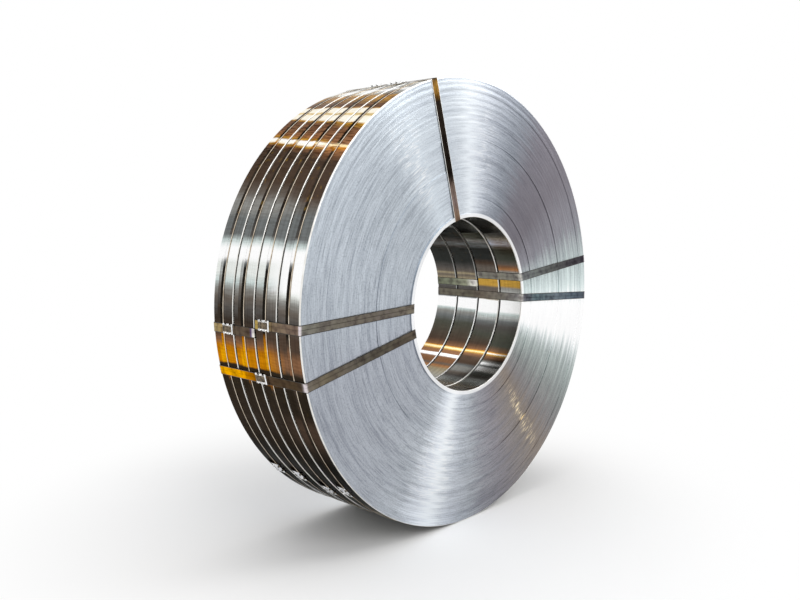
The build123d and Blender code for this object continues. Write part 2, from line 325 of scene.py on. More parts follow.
def flecked_strip_with_painted_reflections(name, tables, lean_angle, roughness,
                grazing=glance_share, flecks=faint_flecks, left_reflection=None):
    """Bright strip whose colour, painted reflections in bands, follows the angle down from the top. The angle
    is moved along the axis by the bands' lean and by a slow wander and read from a table, and noise on the
    angle breaks the dark bands into thin ones. The lean and the thin bands fade out at the very top, where
    the two sides meet. Where there are two tables, the second takes over towards the front. Grazing is how
    much of its own colour the underside keeps at a glance, flecks is how strong the dried drops of oil are
    above the side, and a left reflection is a pale tint that stands in for the painted reflections on the
    left."""
    material, tree, place_in = start_finish(name)
    axes = node(tree, "SeparateXYZ", {0: place_in}).node.outputs
    side = node(tree, "Math", {0: axes["X"]}, operation="ABSOLUTE")
    turn = node(tree, "Math", {0: side, 1: axes["Z"]}, operation="ARCTAN2")
    down = node(tree, "Math", {0: turn, 1: 180 / np.pi}, operation="MULTIPLY")
    off_top = node(tree, "MapRange", {0: down, 1: top_still, 2: top_free})
    slope = node(tree, "MapRange", {
        0: down, 1: lean_whole, 2: lean_gone, 3: lean_angle / bundle_width, 4: 0.0})
    lean = node(tree, "Math", {0: slope, 1: off_top}, operation="MULTIPLY")
    leant = node(tree, "Math", {0: axes["Y"], 1: lean, 2: down}, operation="MULTIPLY_ADD")
    # Noise keeps to its middle half, so four times the wander takes the bands that far each way.
    wander = node(tree, "TexNoise", {"Vector": place_in, "Scale": 1 / wander_length, "Detail": 3.0})
    drift = node(tree, "Math", {0: wander, 1: 4 * band_wander, 2: -2 * band_wander},
                 operation="MULTIPLY_ADD")
    where = node(tree, "Math", {0: leant, 1: drift})

    upper = node(tree, "Math", {0: where, 1: 1 / ramp_split}, operation="MULTIPLY")
    lower = node(tree, "MapRange", {0: where, 1: ramp_split, 2: 180.0})
    below = node(tree, "Math", {0: where, 1: ramp_split}, operation="GREATER_THAN")
    sides = []
    for bands in tables:
        high = [(angle / ramp_split, reflection_tints[tint]) for angle, tint in bands if angle <= ramp_split]
        low = [((angle - ramp_split) / (180 - ramp_split), reflection_tints[tint])
               for angle, tint in bands if angle > ramp_split]
        top = node(tree, "ValToRGB", {0: upper}, stops=high)
        foot = node(tree, "ValToRGB", {0: lower}, stops=low)
        sides.append(node(tree, "Mix", {0: below, 6: top, 7: foot}, 2, data_type="RGBA"))
    forward = node(tree, "MapRange", {0: axes["Y"], 1: front_from, 2: front_to})
    band = node(tree, "Mix", {0: forward, 6: sides[0], 7: sides[-1]}, 2, data_type="RGBA")
    if left_reflection:
        leftward = node(tree, "MapRange", {0: axes["X"], 1: left_from, 2: left_to, 4: left_share})
        band = node(tree, "Mix", {0: leftward, 6: band, 7: linear(left_reflection)}, 2, data_type="RGBA")

    depth = node(tree, "MapRange", {
        0: band, 1: dark_reflection, 2: clear_reflection, 3: dark_reflection_depth, 4: clear_reflection_depth})
    across = node(tree, "Math", {0: axes["Y"], 1: 1 / streak_spacing}, operation="MULTIPLY")
    round_turn = node(tree, "Math", {0: turn, 1: streaks_per_radian}, operation="MULTIPLY")
    grain_at = node(tree, "CombineXYZ", {0: across, 1: round_turn})
    grain = node(tree, "TexNoise", {"Vector": grain_at, "Scale": 1.0, "Detail": 2.0})
    shade = node(tree, "ValToRGB", {0: grain}, stops=streak_shades)
    streaked = node(tree, "Mix", {0: depth, 6: band, 7: shade}, 2, data_type="RGBA", blend_type="MULTIPLY")
    around = node(tree, "Math", {0: where, 1: 1 / thin_band_angle}, operation="MULTIPLY")
    lengthways = node(tree, "Math", {0: axes["Y"], 1: 1 / thin_band_length}, operation="MULTIPLY")
    thin_at = node(tree, "CombineXYZ", {0: around, 1: lengthways})
    thin = node(tree, "TexNoise", {"Vector": thin_at, "Scale": 1.0, "Detail": 2.0})
    thin_shade = node(tree, "ValToRGB", {0: thin}, stops=thin_band_shades)
    upward = node(tree, "MapRange", {0: down, 1: thin_whole, 2: thin_less, 3: thin_above, 4: thin_below})
    thin_part = node(tree, "Math", {0: upward, 1: off_top}, operation="MULTIPLY")
    thin_depth = node(tree, "Math", {0: depth, 1: thin_part}, operation="MULTIPLY")
    lined = node(tree, "Mix", {0: thin_depth, 6: streaked, 7: thin_shade}, 2,
                 data_type="RGBA", blend_type="MULTIPLY")

    speck = node(tree, "TexNoise", {"Vector": place_in, "Scale": 1 / fleck_size, "Detail": 4.0})
    fleck = node(tree, "ValToRGB", {0: speck}, stops=fleck_shades)
    above = node(tree, "MapRange", {0: down, 1: fleck_whole, 2: fleck_gone, 3: flecks, 4: faint_flecks})
    colour = node(tree, "Mix", {0: above, 6: lined, 7: fleck}, 2, data_type="RGBA", blend_type="LIGHTEN")
    under = node(tree, "MapRange", {0: down, 1: under_from, 2: under_whole, 3: glance_share, 4: grazing})
    kept = node(tree, "Mix", {0: forward, 2: under, 3: glance_share})
    edge = node(tree, "Mix", {0: kept, 6: white, 7: colour}, 2, data_type="RGBA")
    shader = node(tree, "BsdfPrincipled", {
        "Base Color": colour, "Specular Tint": edge, "Metallic": 1.0, "Roughness": roughness})
    node(tree, "OutputMaterial", {"Surface": shader})
    return material


# Slit edges: the sheared edges of hundreds of turns make fine rings, and each turn throws the light back at
# its own angle, so the end of the coil shines in ragged fans with short bright glints. These fans and glints
# are painted into the colour as painted highlights and painted shade. Angles run round the axis from the
# right. The real turns are 1 mm apart, too fine to show, so the rings are drawn coarser.
painted_light_fans = [
    (-90, "#bcc1c8"), (-82, "#a5a6ad"), (-72, "#97949a"), (-58, "#948c87"), (-52, "#95897f"),
    (-44, "#8e8a8a"), (-34, "#9a9f9d"), (-24, "#b8c2bf"), (-17.5, "#e6ecec"), (-15, "#ffffff"),
    (-1, "#ffffff"), (2, "#e0eceb"), (11, "#c0cccb"), (24, "#86858c"), (40, "#716d74"), (57, "#7a777f"),
    (68, "#8f949d"), (78, "#b3b9c3"), (86, "#d6dce5"), (94, "#eef4fa"), (100, "#dce3ea"), (108, "#d2dae2"),
    (122, "#dde6ee"), (135, "#c3cbd3"), (180, "#b4bbc3"), (196, "#b0b5be"), (228, "#b2b7bf"),
    (240, "#c0c6cd"), (248, "#e2e8f0"), (254, "#f4f9fd"), (261, "#d2d8e0"), (270, "#bcc1c8")]
painted_glint_fans = [
    (-90, "#000000"), (-68, "#000000"), (-65, "#3a2816"), (-62, "#000000"), (-57, "#000000"),
    (-54.8, "#f0d8a8"), (-53, "#f0d8a8"), (-50.6, "#000000"), (76, "#000000"), (84, "#a0a0a0"),
    (90, "#a0a0a0"), (96, "#202020"), (116, "#303030"), (121, "#d0d0d0"), (127, "#d0d0d0"),
    (131, "#202020"), (150, "#101010"), (240, "#101010"), (247, "#c0c0c0"), (256, "#c0c0c0"),
    (264, "#202020"), (270, "#000000")]
ring_spacing, ring_group_spacing = 0.0022, 0.016
fan_raggedness, glint_raggedness_share = 9.0, 0.3

# Each set of arcs has its spacing across the turns, its length round them, its dark tone and its depth.
# Burrs are as long as they are wide. The light and the dark fans are calmer than the middling ones.
ring_arcs = [(0.0024, 0.05, "#9a9ca2", 0.45), (0.007, 0.2, "#b4b6bc", 0.36), (0.018, 0.4, "#c8cad0", 0.32)]
burr_size, burr_tone, burr_depth = 0.0042, "#b0b2b6", 0.34
arc_low, arc_high = 0.3, 0.54
calm_fans = [(0.16, "#c0c0c0"), (0.3, "#ffffff"), (0.6, "#ffffff"), (0.9, "#606060")]

# Painted glints lie in the middle of the turns' reach, as a share of the outer radius. The first turns round
# the bore carry a painted highlight.
glint_spacing, glint_length = 0.0028, 0.03
glint_peaks = [(0.52, "#000000"), (0.66, "#ffffff")]
glint_reach = [(0.48, "#202020"), (0.6, "#ffffff"), (0.84, "#ffffff"), (0.95, "#303030")]
first_turns, first_turns_whole_share, first_turns_highlight = 0.012, 0.8, 0.7
edge_roughness, edge_anisotropy = 0.34, 0.75


def arc_noise(tree, radius, axes, spacing, length):
    """Noise drawn out into arcs: the radius counts in spacings, and the place across and up counts in
    lengths."""
    ring = node(tree, "Math", {0: radius, 1: 1 / spacing}, operation="MULTIPLY")
    level = node(tree, "Math", {0: axes["X"], 1: 1 / length}, operation="MULTIPLY")
    upright = node(tree, "Math", {0: axes["Z"], 1: 1 / length}, operation="MULTIPLY")
    at = node(tree, "CombineXYZ", {0: ring, 1: level, 2: upright})
    return node(tree, "TexNoise", {"Vector": at, "Scale": 1.0, "Detail": 2.0})


def slit_edges(name):
    """Ringed steel whose colour follows the angle round the axis as fans of painted highlight and painted
    shade, moved a few degrees from turn to turn by noise on the radius, with light and dark arcs from noise
    drawn out round the axis, painted glints where such noise peaks inside a fan, and a painted highlight on
    the first turns round the bore."""
    material, tree, place_in = start_finish(name)
    axes = node(tree, "SeparateXYZ", {0: place_in}).node.outputs
    left = node(tree, "Math", {0: axes["X"], 1: -1.0}, operation="MULTIPLY")
    turn = node(tree, "Math", {0: left, 1: axes["Z"]}, operation="ARCTAN2")
    share = node(tree, "Math", {0: turn, 1: 0.5 / np.pi, 2: 0.5}, operation="MULTIPLY_ADD")
    flat = node(tree, "CombineXYZ", {0: axes["X"], 1: axes["Z"]})
    radius = node(tree, "VectorMath", {0: flat}, "Value", operation="LENGTH")
    fine = node(tree, "TexNoise", {"W": radius, "Scale": 1 / ring_spacing, "Detail": 2.0},
                noise_dimensions="1D")
    broad = node(tree, "TexNoise", {"W": radius, "Scale": 1 / ring_group_spacing, "Detail": 1.0},
                 noise_dimensions="1D")
    both = node(tree, "Math", {0: fine, 1: broad})
    swing = fan_raggedness / 360
    moved = node(tree, "Math", {0: both, 1: swing, 2: -swing}, operation="MULTIPLY_ADD")
    where = node(tree, "Math", {0: share, 1: moved})
    fan_stops, lit_stops = (
        [((angle + 90) / 360, tint) for angle, tint in fans] for fans in (painted_light_fans, painted_glint_fans))
    fan = node(tree, "ValToRGB", {0: where}, stops=fan_stops)

    calm = node(tree, "ValToRGB", {0: fan}, stops=calm_fans)
    burr = node(tree, "TexNoise", {"Vector": place_in, "Scale": 1 / burr_size, "Detail": 1.0})
    patches = [(arc_noise(tree, radius, axes, spacing, length), tone, depth)
               for spacing, length, tone, depth in ring_arcs]
    shaded = fan
    for patch, tone, depth in patches + [(burr, burr_tone, burr_depth)]:
        shade = node(tree, "ValToRGB", {0: patch}, stops=[(arc_low, tone), (arc_high, "#ffffff")])
        part = node(tree, "Math", {0: calm, 1: depth}, operation="MULTIPLY")
        shaded = node(tree, "Mix", {0: part, 6: shaded, 7: shade}, 2,
                      data_type="RGBA", blend_type="MULTIPLY")

    streak = arc_noise(tree, radius, axes, glint_spacing, glint_length)
    peak = node(tree, "ValToRGB", {0: streak}, stops=glint_peaks)
    near = node(tree, "Math", {0: moved, 1: glint_raggedness_share, 2: share}, operation="MULTIPLY_ADD")
    lit = node(tree, "ValToRGB", {0: near}, stops=lit_stops)
    reach = node(tree, "Math", {0: radius, 1: 1 / outer_radius}, operation="MULTIPLY")
    window = node(tree, "ValToRGB", {0: reach}, stops=glint_reach)
    glint = peak
    for mask in (lit, window):
        glint = node(tree, "Mix", {0: 1.0, 6: glint, 7: mask}, 2, data_type="RGBA", blend_type="MULTIPLY")
    glinting = node(tree, "Mix", {0: 1.0, 6: shaded, 7: glint}, 2, data_type="RGBA", blend_type="SCREEN")
    first = node(tree, "MapRange", {
        0: radius, 1: bore_radius + first_turns_whole_share * first_turns, 2: bore_radius + first_turns,
        3: first_turns_highlight, 4: 0.0})
    colour = node(tree, "Mix", {0: first, 6: glinting, 7: white}, 2, data_type="RGBA")
    round_axis = node(tree, "Tangent", direction_type="RADIAL", axis="Y")
    shader = node(tree, "BsdfPrincipled", {
        "Base Color": colour, "Metallic": 1.0, "Roughness": edge_roughness,
        "Anisotropic": edge_anisotropy, "Tangent": round_axis})
    node(tree, "OutputMaterial", {"Surface": shader})
    return material


cloud_low, cloud_high = 0.3, 0.6


def cloudy_metal(name, light, dark, cloud_size, roughness):
    """Bare metal that drifts between a dark and a light tone over patches of one size."""
    material, tree, place_in = start_finish(name)
    cloud = node(tree, "TexNoise", {"Vector": place_in, "Scale": 1 / cloud_size, "Detail": 3.0})
    colour = node(tree, "ValToRGB", {0: cloud}, stops=[(cloud_low, dark), (cloud_high, light)])
    shader = node(tree, "BsdfPrincipled", {"Base Color": colour, "Metallic": 1.0, "Roughness": roughness})
    node(tree, "OutputMaterial", {"Surface": shader})
    return material


# The sheared rims are bare steel painted near white, a painted highlight that draws thin bright lines. In the
# bore the rear coils' rims carry painted reflection bands of their own.
# The slit ends carry fans of painted highlight and painted shade, and painted glints.
end_finish = slit_edges("slit_edges_painted_highlights_and_shade")
rim_finish = cloudy_metal(
    "painted_highlight_on_sheared_rim", "#faf9f6", "#e2e0da", cloud_size=0.03, roughness=0.3)
# The outside and the bore carry the painted reflection bands.
outside_finish = flecked_strip_with_painted_reflections(
    "bright_strip_painted_reflections_outside", [outside_rear_bands, outside_front_bands], outside_lean,
    roughness=0.16, grazing=outside_glance, flecks=outside_flecks)
bore_bands = {"front": bore_front_bands, "middle": bore_middle_bands, "rear": bore_rear_bands}
bore_front, bore_middle, bore_rear = (
    flecked_strip_with_painted_reflections(f"oiled_bright_strip_bore_{part}", [bands], bore_lean,
                roughness=0.22, left_reflection=bore_left_reflection)
    for part, bands in bore_bands.items())
rear_rim_finish = flecked_strip_with_painted_reflections(
    "rim_painted_reflections_in_the_bore", [rear_rim_bands], bore_lean, roughness=0.3, left_reflection=bore_left_reflection)
bore_finishes = [bore_front, bore_middle, bore_rear, bore_rear]
bore_rim_finishes = [rim_finish, rim_finish, rear_rim_finish, rear_rim_finish]
for index, name in enumerate(coil_names):
    low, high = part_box(name)
    coil = coil_mesh(f"wound_{name}", low.y, high.y, index)
    finishes = [outside_finish, bore_finishes[index], end_finish, rim_finish, bore_rim_finishes[index]]
    place(f"wound_{name}", coil, finishes, [name])

# Belly straps: one wide steel strap round the outside of each coil, pulled tight over the last turn. Each is
# a ribbon that laps over itself at the lower left, where a seal closes it. Being bright strip, it carries the
# same painted reflection bands as the coil, a little duller, and its sheared edges a painted highlight.
strap_gauge = 0.0008
strap_edge_round = 0.0002
strap_lip = 0.0135
belly_borders = (0.0004, 0.0024)
belly_clearance = 0.00045
lap_length, lap_rise, lap_air = 0.058, 0.0018, 0.00002
round_steps, run_steps = 240, 6
flat_zone, edge_zone, lip_zone = range(3)


def strap_ribbon(name, middle, across, out, width, borders, near_zone, along=None):
    """Profile carried along a path: a flat bar, width by gauge with rounded edges, whose inner face follows
    the path. Its first axis lies along the across vectors and its second along the out vectors. The flat
    has a border on each side, the near one in a zone that is given, with a lip inside the far one, and the
    path's ends are capped."""
    half, edge, top = width / 2, strap_edge_round, strap_gauge
    profile = np.array([
        (-half + edge, 0), (-half, edge), (-half, top - edge), (-half + edge, top), (-half + borders[0], top),
        (0, top), (half - strap_lip, top), (half - borders[1], top), (half - edge, top), (half, top - edge),
        (half, edge), (half - edge, 0), (0, 0)])
    points = middle[:, None] + profile[None, :, :1] * across[:, None] + profile[None, :, 1:] * out[:, None]
    zones = np.repeat([edge_zone, near_zone, flat_zone, lip_zone, edge_zone], [3, 1, 2, 1, 6])[None, :]
    return grid_mesh(name, points, False, True, zones, along)


# The strap's flat carries duller copies of the clear painted reflections, and its front lip, which dips
# towards the coil, carries mostly dark painted reflections.
dulled = {
    79.4: "silver", 81.4: "silver", 83.4: "grey", 85: "taupe", 87: "lead", 89.4: "bark", 98.4: "gold",
    100: "honey", 102.2: "honey"
}
strap_flat_bands = [(angle, dulled.get(angle, tint)) for angle, tint in outside_rear_bands]
strap_lip_bands = [
    (0, "khaki"), (23, "khaki"), (24, "pearl"), (26, "ochre"), (29, "cocoa"), (31, "pitch"),
    (34.6, "pitch"), (35.4, "lead"), (39.6, "lead"), (40.6, "pitch"), (47.4, "pitch"), (48.2, "straw"),
    (49.4, "gold"), (50.4, "bark"), (63, "bark"), (66, "pitch"), (73, "lead"), (74.4, "aqua"),
    (76, "clear"), (78, "clear"), (79.2, "slate"), (80.4, "pitch"), (94, "pitch"), (96, "amber"),
    (98, "honey"), (102.2, "honey"), (102.6, "black"), (103.6, "black"), (104.2, "amber"), (107, "bark"),
    (132, "black"), (150, "black"), (180, "black")]
dulled_lip, dulled_lip_from = {"honey": "umber", "amber": "cocoa"}, 90
strap_lip_front_bands = [
    (angle, dulled_lip.get(tint, tint) if angle > dulled_lip_from else tint)
    for angle, tint in strap_lip_bands]

# The sheared edges are painted a warm near white, a painted highlight that draws warm bright lines.
belly_edge_finish = cloudy_metal(
    "painted_highlight_on_belly_strap_edge", "#e6dac8", "#b8a68e", cloud_size=0.02, roughness=0.3)
belly_bands = {
    "flat_front": [outside_rear_bands, outside_front_bands],
    "flat_rear": [strap_flat_bands, outside_front_bands],
    "lip": [strap_lip_bands, strap_lip_front_bands],
}
belly_finishes = {
    part: flecked_strip_with_painted_reflections(f"belly_strap_painted_reflections_{part}", tables, outside_lean,
                      roughness=0.2, grazing=outside_glance, flecks=outside_flecks)
    for part, tables in belly_bands.items()}
belly_flats = ["flat_front", "flat_front", "flat_rear", "flat_rear"]
belly_seal_angles = (226.0, 229.0, 225.5, 225.0)
for index, flat in enumerate(belly_flats):
    low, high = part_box(f"belly_strap_{index + 1}")
    inner = outer_radius + belly_clearance
    half_lap, rise = lap_length / 2 / inner, lap_rise / inner
    path = np.concatenate([
        np.linspace(-half_lap, 2 * np.pi - half_lap - rise, round_steps),
        np.linspace(2 * np.pi - half_lap, 2 * np.pi + half_lap, run_steps)])
    lift = np.where(path > 2 * np.pi - half_lap - rise / 2, strap_gauge + lap_air, 0)
    turn = np.radians(belly_seal_angles[index]) + path
    out = np.stack([np.cos(turn), np.zeros_like(turn), np.sin(turn)], axis=-1)
    middle = out * (inner + lift)[:, None]
    middle[:, 1] = (low.y + high.y) / 2
    across = np.broadcast_to((0.0, -1.0, 0.0), out.shape)
    ribbon = strap_ribbon(
        f"belly_ribbon_{index + 1}", middle, across, out, high.y - low.y, belly_borders, flat_zone)
    finishes = [belly_finishes[flat], belly_edge_finish, belly_finishes["lip"]]
    place(f"belly_ribbon_{index + 1}", ribbon, finishes, [f"belly_strap_{index + 1}"])

# Eye straps: 25 mm steel strap through the bore, down both ends and over the outside of two coils or four.
# Each is one ribbon with tight bends at the corners, and it laps over itself on the outside under a seal.
strap_width = 0.025
eye_borders, top_borders = (0.0016, 0.0016), (0.0013, 0.0013)
seat_clearance = 0.0001
outer_bend, bore_bend, bend_steps = 0.0015, 0.0012, 5
eye_level = outer_radius + belly_clearance + strap_gauge + seat_clearance
bore_level = np.sqrt(bore_radius ** 2 - (strap_width / 2) ** 2) - seat_clearance
strapped_coils = {"front_pair": (0, 1), "rear_pair": (2, 3), "bundle": (0, 3)}
eye_strap_angles = {
    "front_pair": {"left": (182.3, 179.4), "right": (11.3, 16.4), "top": (107.4, 107.7)},
    "rear_pair": {"left": (184.3, 182.0), "right": (8.6, 9.7), "top": (106.0, 105.6)},
    "bundle": {"left": (194.6, 194.9), "right": (-0.2, 1.5)},
}


def eye_path(outside_angle, bore_angle, front, rear, seal_place):
    """Path of an eye strap's inner face, with its across and out directions and a running number for each
    run. It starts under the lap, goes forward over the outside, in down the front, back through the bore,
    out up the rear and forward again on top of its own start. Straight runs meet in quarter circles, and on
    the ends the strap lies in a straight line between its place on the outside and its place in the
    bore."""
    quarter = np.linspace(0, np.pi / 2, bend_steps)
    slow, fast = 1 - np.cos(quarter), 1 - np.sin(quarter)
    start, finish = seal_place + lap_length / 2, seal_place - lap_length / 2
    front_face, rear_face = front - seat_clearance, rear + seat_clearance
    runs = [
        (np.linspace(start, front_face + outer_bend, run_steps), eye_level, 0, 0),
        (front_face + outer_bend * fast, eye_level - outer_bend * slow, quarter, 0),
        (front_face, np.linspace(eye_level - outer_bend, bore_level + bore_bend, run_steps), np.pi / 2, 1),
        (front_face + bore_bend * slow, bore_level + bore_bend * fast, quarter + np.pi / 2, 1),
        (np.linspace(front_face + bore_bend, rear_face - bore_bend, run_steps), bore_level, np.pi, 2),
        (rear_face - bore_bend * fast, bore_level + bore_bend * slow, quarter + np.pi, 2),
        (rear_face, np.linspace(bore_level + bore_bend, eye_level - outer_bend, run_steps), 1.5 * np.pi, 3),
        (rear_face - outer_bend * slow, eye_level - outer_bend * fast, quarter + 1.5 * np.pi, 3),
        ([start + lap_rise], eye_level, 2 * np.pi, 4),
        (np.linspace(start, finish, run_steps), eye_level + strap_gauge + lap_air, 2 * np.pi, 4),
    ]
    depth, reach, lean, number = np.concatenate([np.broadcast_arrays(*run) for run in runs], axis=1)
    share_in = np.clip((eye_level - reach) / (eye_level - bore_level), 0, 1)
    share = share_in[:, None]
    ends = np.radians([outside_angle, bore_angle])
    outward = np.stack([np.cos(ends), np.zeros(2), np.sin(ends)], axis=-1)
    around = np.stack([-np.sin(ends), np.zeros(2), np.cos(ends)], axis=-1)
    outer_part = (1 - share) * np.maximum(reach, eye_level)[:, None] * outward[0]
    middle = outer_part + share * bore_level * outward[1]
    middle[:, 1] = depth
    across = (1 - share) * around[0] + share * around[1]
    radial = (1 - share) * outward[0] + share * outward[1]
    axial = np.array([0.0, -1.0, 0.0])
    out = radial * np.cos(lean)[:, None] + axial * np.sin(lean)[:, None]
    along_run = (rear - depth) / (rear - front)
    along = np.choose(
        number.astype(int), [along_run, 1 + share_in, 3 - along_run, 4 - share_in, 4 + along_run])
    return middle, across, out, along


# Waxed steel strap: dull dark strapping with a wax film that turns it straw, brown or slate from place to
# place, mottled and finely scuffed. Near-white stops at and just past the bends are painted highlights, and
# the gold at the rear of the bundle's left strap is a painted reflection. Stops run with the strap: 0 to 1
# outside from the rear, 1 to 2 down the front, 2 to 3 through the bore and 3 to 4 up the rear.
strap_tints_and_painted_light = {
    "left": {
        0.0: "#c4ac68", 0.3: "#a89468", 0.42: "#8e7e6c", 0.9: "#86746a", 0.965: "#86746a", 0.985: "#ece6f2",
        1.0: "#ece6f2", 1.004: "#84847f", 1.2: "#7a7670", 1.5: "#76706a", 1.75: "#6e6864", 1.96: "#847e74",
        2.02: "#8a8680", 2.5: "#6b675f", 2.97: "#6b675f", 3.02: "#d8d8da", 3.06: "#706b66",
        3.98: "#706b66"},
    "right": {
        0.0: "#7a6a4c", 0.5: "#6a5c48", 0.95: "#54483e", 0.985: "#ece6f2", 1.0: "#ece6f2", 1.004: "#52505a",
        1.35: "#5c5c62", 1.6: "#6e7274", 1.85: "#80868a", 1.97: "#7c8086", 2.01: "#f2f2f2", 2.06: "#a09f9b",
        2.5: "#96958f", 2.97: "#8a8a86", 3.02: "#d8d8da", 3.06: "#60646c", 3.98: "#60646c"},
    "top": {
        0.0: "#4a4038", 0.5: "#3a322c", 0.97: "#4a4034", 1.0: "#4a4034", 1.02: "#8e6c38", 1.11: "#80602e",
        1.15: "#2a2420", 1.68: "#221e1c", 1.74: "#6a5c56", 1.86: "#8a7a78", 1.97: "#8a7262",
        2.03: "#3a3634", 2.5: "#4a423c", 3.5: "#4a423c"},
    "rear_pair_right": {
        0.0: "#7a6a4c", 0.5: "#6a5c48", 0.97: "#54483e", 1.02: "#c8c8c8", 1.06: "#60646c", 1.95: "#60646c",
        2.0: "#ffffff", 2.05: "#fbfbfa", 2.16: "#e2e4e0", 2.26: "#a6ab98", 2.6: "#8a9080", 2.97: "#7a8070",
        3.05: "#60646c", 3.98: "#60646c"},
    "rear_pair_left": {
        0.0: "#b0a27c", 0.22: "#bca478", 0.34: "#6e6258", 0.9: "#685a4e", 0.94: "#6a5890", 0.965: "#f6f2fa",
        1.0: "#ffffff", 1.03: "#a8a4a8", 1.1: "#706b66", 2.0: "#68645e", 2.5: "#6b675f", 3.5: "#706b66"},
    "bundle_left": {
        0.0: "#ffc000", 0.3: "#ffbc00", 0.36: "#dc9400", 0.43: "#a8700c", 0.47: "#5c4a34", 0.6: "#5a4a3c",
        0.9: "#584a3c", 0.965: "#544840", 0.985: "#e6e0ec", 1.0: "#e6e0ec", 1.004: "#7c756f",
        1.15: "#787062", 1.35: "#6c6660", 1.55: "#605c54", 1.97: "#625a52", 2.02: "#6e6a62", 2.5: "#5b574f",
        3.5: "#6c6860"},
    "bundle_right": {
        0.0: "#7a6a4c", 0.5: "#6a5c48", 0.95: "#54483e", 0.985: "#ece6f2", 1.0: "#ece6f2", 1.004: "#5a6270",
        1.2: "#667484", 1.5: "#76828f", 1.8: "#687c86", 1.97: "#767884", 2.01: "#f2f2f2", 2.05: "#a2a2a5",
        2.2: "#8c8984", 2.45: "#7e756c", 2.6: "#6e6a60", 2.97: "#726e66", 3.05: "#60646c", 3.98: "#60646c"},
}
strap_runs = 4
mottle_size, mottle_depth = 0.018, 0.7
mottle_shades = [(0.32, "#84766e"), (0.44, "#c8c0ba"), (0.56, "#ecead8"), (0.68, "#fff8f0")]
scuff_size, scuff_smooth, scuff_rough = 0.0025, 0.26, 0.5
strap_glance_share = 0.6


def strap_finish_with_painted_light(name, tints):
    """Dark strap steel whose tint, painted highlights and reflections included, follows the strap's own
    length, broken by a mottle and by fine scuffs.
    """
    material, tree, place_in = start_finish(name)
    own = node(tree, "UVMap", uv_map="along")
    along = node(tree, "SeparateXYZ", {0: own}, "X")
    part = node(tree, "Math", {0: along, 1: 1 / strap_runs}, operation="MULTIPLY")
    round_once = node(tree, "Math", {0: part}, operation="FRACT")
    tint_stops = [(spot / strap_runs, tints[spot]) for spot in sorted(tints)]
    tint = node(tree, "ValToRGB", {0: round_once}, stops=tint_stops)
    mottle = node(tree, "TexNoise", {"Vector": place_in, "Scale": 1 / mottle_size, "Detail": 4.0})
    shade = node(tree, "ValToRGB", {0: mottle}, stops=mottle_shades)
    colour = node(tree, "Mix", {0: mottle_depth, 6: tint, 7: shade}, 2,
                  data_type="RGBA", blend_type="MULTIPLY")
    edge = node(tree, "Mix", {0: strap_glance_share, 6: white, 7: colour}, 2, data_type="RGBA")
    scuff = node(tree, "TexNoise", {"Vector": place_in, "Scale": 1 / scuff_size, "Detail": 2.0})
    gloss = node(tree, "MapRange", {0: scuff, 3: scuff_smooth, 4: scuff_rough})
    shader = node(tree, "BsdfPrincipled", {
        "Base Color": colour, "Specular Tint": edge, "Metallic": 1.0, "Roughness": gloss})
    node(tree, "OutputMaterial", {"Surface": shader})
    return material


# The edges of the side straps are painted dark as a painted shade line. The top straps' edges carry the rims'
# painted highlight.
strap_finishes = {
    part: strap_finish_with_painted_light(f"strap_steel_wax_and_painted_light_{part}", tints) for part, tints in strap_tints_and_painted_light.items()}
strap_edge_finish = cloudy_metal(
    "painted_shade_on_strap_edge", "#4c4843", "#2a2724", cloud_size=0.015, roughness=0.35)
for group, sides in eye_strap_angles.items():
    first, last = strapped_coils[group]
    front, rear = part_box(coil_names[first])[0].y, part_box(coil_names[last])[1].y
    for side, (outside_angle, bore_angle) in sides.items():
        low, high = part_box(f"{group}_seal_{side}")
        middle, across, out, along = eye_path(outside_angle, bore_angle, front, rear, (low.y + high.y) / 2)
        borders, border_finish = eye_borders, strap_edge_finish
        if side == "top":
            borders, border_finish = top_borders, rim_finish
        ribbon = strap_ribbon(
            f"{group}_ribbon_{side}", middle, across, out, strap_width, borders, edge_zone, along)
        finish = strap_finishes.get(f"{group}_{side}", strap_finishes[side])
        finishes = [finish, border_finish, finish]
        place(f"{group}_ribbon_{side}", ribbon, finishes, [f"{group}_strap_{side}"])

# Seals: a sleeve of galvanised sheet folded over each lap, with two notches cut in each side and their tabs
# bent up. The notching grips both layers of strap.
seal_length, seal_half_width, seal_height = 0.042, 0.01335, 0.00215
seal_gauge = 0.0009
shoulder_round, shoulder_steps, length_steps = 0.0009, 4, 4
notch_pitch, notch_width, notch_depth = 0.020, 0.007, 0.005
tab_angle, tab_start_share = np.radians(50), 0.2


